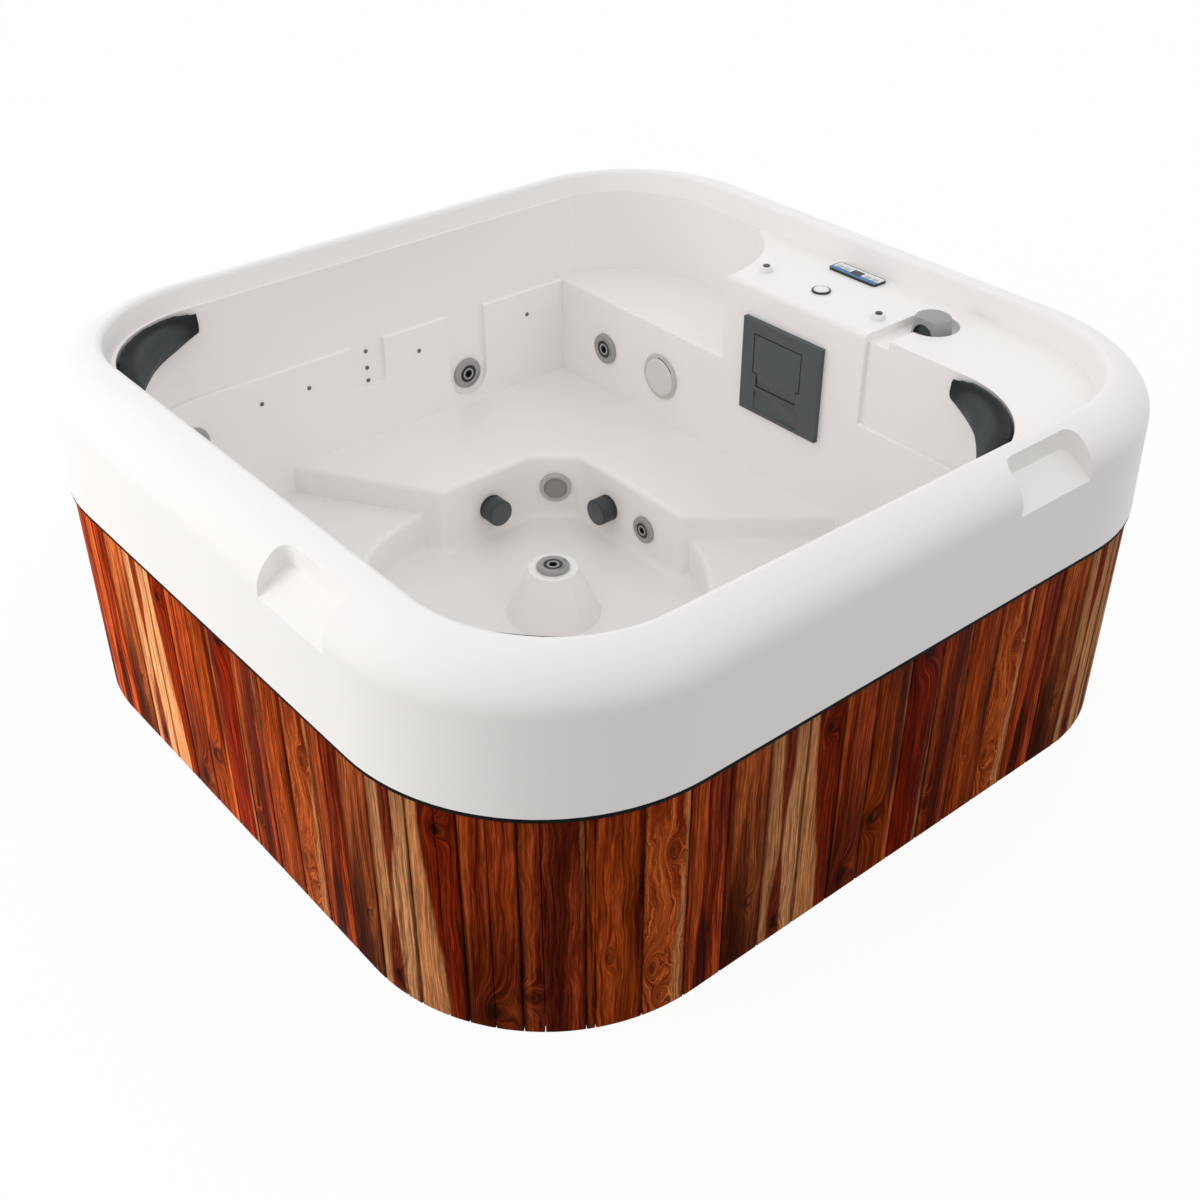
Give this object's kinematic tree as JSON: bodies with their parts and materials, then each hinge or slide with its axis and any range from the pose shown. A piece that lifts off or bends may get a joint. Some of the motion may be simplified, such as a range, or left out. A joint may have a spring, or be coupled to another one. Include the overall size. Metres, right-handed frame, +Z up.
{
  "type": "hot tub",
  "caption": "Square hot tub with a moulded basin, bench seats, footwell, cool-down platform and control console, on a skirt of upright wooden planks.",
  "frame": {"origin": "on the ground under the middle of the tub's outline", "axes": "+Z up, +Y towards the console side, +X towards the tub's right side seen from the front"},
  "size_m": [1.9, 1.963, 0.829],
  "materials": {
    "shell": "satin moulded acrylic, warm off-white",
    "teak": "oiled red-brown planks with knots and pale streaks",
    "frame_timber": "plain sawn softwood",
    "seal_rubber": "matt black",
    "base_plastic": "black moulded sheet",
    "support_foam": "rigid foam",
    "pillow_foam": "soft matt slate skin",
    "slate_plastic": "dark slate, fine grain",
    "jet_grey": "mid grey",
    "jet_black": "black",
    "fitting_white": "white",
    "lens_pale": "pale diffusing lens",
    "display_dark": "dark window",
    "key_grey": "soft grey",
    "filter_paper": "white pleats",
    "pipe_white": "white pipe",
    "motor_paint": "black paint",
    "heater_steel": "brushed",
    "box_paint": "grey paint"
  },
  "bodies": {
    "tub": {"air_button_body": "jet_black", "air_injectors": "fitting_white", "air_valve_bodies": "fitting_white", "base_pan": "base_plastic", "control_box": "box_paint", "diverter_body": "pipe_white", "filter_cartridge": "filter_paper", "footwell_support": "support_foam", "frame_posts": "frame_timber", "heater": "heater_steel", "jet_bodies": "fitting_white", "jet_nozzles": "jet_black", "jet_nuts": "fitting_white", "light_bezel": "fitting_white", "light_cup": "fitting_white", "light_lens": "lens_pale", "lower_rail": "frame_timber", "pillow_left": "pillow_foam", "pillow_near": "pillow_foam", "pillow_pins": "fitting_white", "pillow_right": "pillow_foam", "pressure_pipes": "pipe_white", "pump_motor": "motor_paint", "pump_wet_end": "slate_plastic", "return_fitting": "fitting_white", "rim_seal": "seal_rubber", "shell": "shell", "skimmer_housing": "pipe_white", "skimmer_plate": "slate_plastic", "skirt_back": "teak", "skirt_corner_back": "teak", "skirt_corner_left": "teak", "skirt_corner_near": "teak", "skirt_corner_right": "teak", "skirt_front": "teak", "skirt_left": "teak", "skirt_right": "teak", "suction_bodies": "fitting_white", "suction_covers": "slate_plastic", "suction_pipes": "pipe_white", "topside_display": "display_dark", "topside_panel": "fitting_white", "upper_rail": "frame_timber"},
    "jet_platform": {"jet_bezel_platform": "jet_grey"},
    "jet_niche": {"jet_bezel_niche": "jet_grey"},
    "jet_corner": {"jet_bezel_corner": "jet_grey"},
    "jet_front": {"jet_bezel_front": "jet_grey"},
    "jet_side": {"jet_bezel_side": "jet_grey"},
    "jet_footwell": {"jet_bezel_footwell": "jet_grey"},
    "jet_centre": {"jet_bezel_centre": "jet_grey"},
    "weir": {"skimmer_weir": "slate_plastic"},
    "diverter": {"diverter_knob": "jet_grey"},
    "air_valve_left": {"air_valve_cap_left": "slate_plastic"},
    "air_valve_right": {"air_valve_cap_right": "slate_plastic"},
    "air_button": {"air_button_cap": "fitting_white"},
    "key_1": {"topside_key_1": "key_grey"},
    "key_2": {"topside_key_2": "key_grey"},
    "key_3": {"topside_key_3": "key_grey"},
    "key_4": {"topside_key_4": "key_grey"}
  },
  "joints": [
    {"name": "jet_platform_turn", "type": "hinge", "parent": "tub", "child": "jet_platform", "pos_m": [-0.62317, 0.558, 0.40697], "axis": [0, -1, 0], "range_deg": [0, 120]},
    {"name": "jet_niche_turn", "type": "hinge", "parent": "tub", "child": "jet_niche", "pos_m": [-0.824, 0.22797, 0.36205], "axis": [1, 0, 0], "range_deg": [0, 120]},
    {"name": "jet_corner_turn", "type": "hinge", "parent": "tub", "child": "jet_corner", "pos_m": [-0.80208, -0.5928, 0.44005], "axis": [0.9848, 0.1736, 0], "range_deg": [0, 120]},
    {"name": "jet_front_turn", "type": "hinge", "parent": "tub", "child": "jet_front", "pos_m": [0.28288, -0.812, 0.40697], "axis": [0, 1, 0], "range_deg": [0, 120]},
    {"name": "jet_side_turn", "type": "hinge", "parent": "tub", "child": "jet_side", "pos_m": [0.812, -0.2496, 0.40697], "axis": [-1, 0, 0], "range_deg": [0, 120]},
    {"name": "jet_footwell_turn", "type": "hinge", "parent": "tub", "child": "jet_footwell", "pos_m": [-0.12563, 0.26707, 0.17695], "axis": [0, -1, 0], "range_deg": [0, 120]},
    {"name": "jet_centre_turn", "type": "hinge", "parent": "tub", "child": "jet_centre", "pos_m": [-0.08486, -0.0599, 0.222], "axis": [0, 0, 1], "range_deg": [0, 120]},
    {"name": "weir_swing", "type": "hinge", "parent": "tub", "child": "weir", "pos_m": [0.038, 0.551, 0.528], "axis": [-1, 0, 0], "range_deg": [0, 65], "stiffness_Nm_per_rad": 0.2},
    {"name": "diverter_turn", "type": "hinge", "parent": "tub", "child": "diverter", "pos_m": [0.344, 0.712, 0.752], "axis": [0, 0, 1], "range_deg": [-90, 90]},
    {"name": "air_valve_left_turn", "type": "hinge", "parent": "tub", "child": "air_valve_left", "pos_m": [-0.121, 0.645, 0.772], "axis": [0, 0, 1], "range_deg": [-90, 90]},
    {"name": "air_valve_right_turn", "type": "hinge", "parent": "tub", "child": "air_valve_right", "pos_m": [0.24, 0.646, 0.772], "axis": [0, 0, 1], "range_deg": [-90, 90]},
    {"name": "air_button_press", "type": "slide", "parent": "tub", "child": "air_button", "axis": [0, 0, -1], "range_m": [0, 0.004], "stiffness_N_per_m": 400},
    {"name": "topside_key_1_press", "type": "slide", "parent": "tub", "child": "key_1", "axis": [0, 0, -1], "range_m": [0, 0.0008], "stiffness_N_per_m": 800},
    {"name": "topside_key_2_press", "type": "slide", "parent": "tub", "child": "key_2", "axis": [0, 0, -1], "range_m": [0, 0.0008], "stiffness_N_per_m": 800},
    {"name": "topside_key_3_press", "type": "slide", "parent": "tub", "child": "key_3", "axis": [0, 0, -1], "range_m": [0, 0.0008], "stiffness_N_per_m": 800},
    {"name": "topside_key_4_press", "type": "slide", "parent": "tub", "child": "key_4", "axis": [0, 0, -1], "range_m": [0, 0.0008], "stiffness_N_per_m": 800}
  ]
}
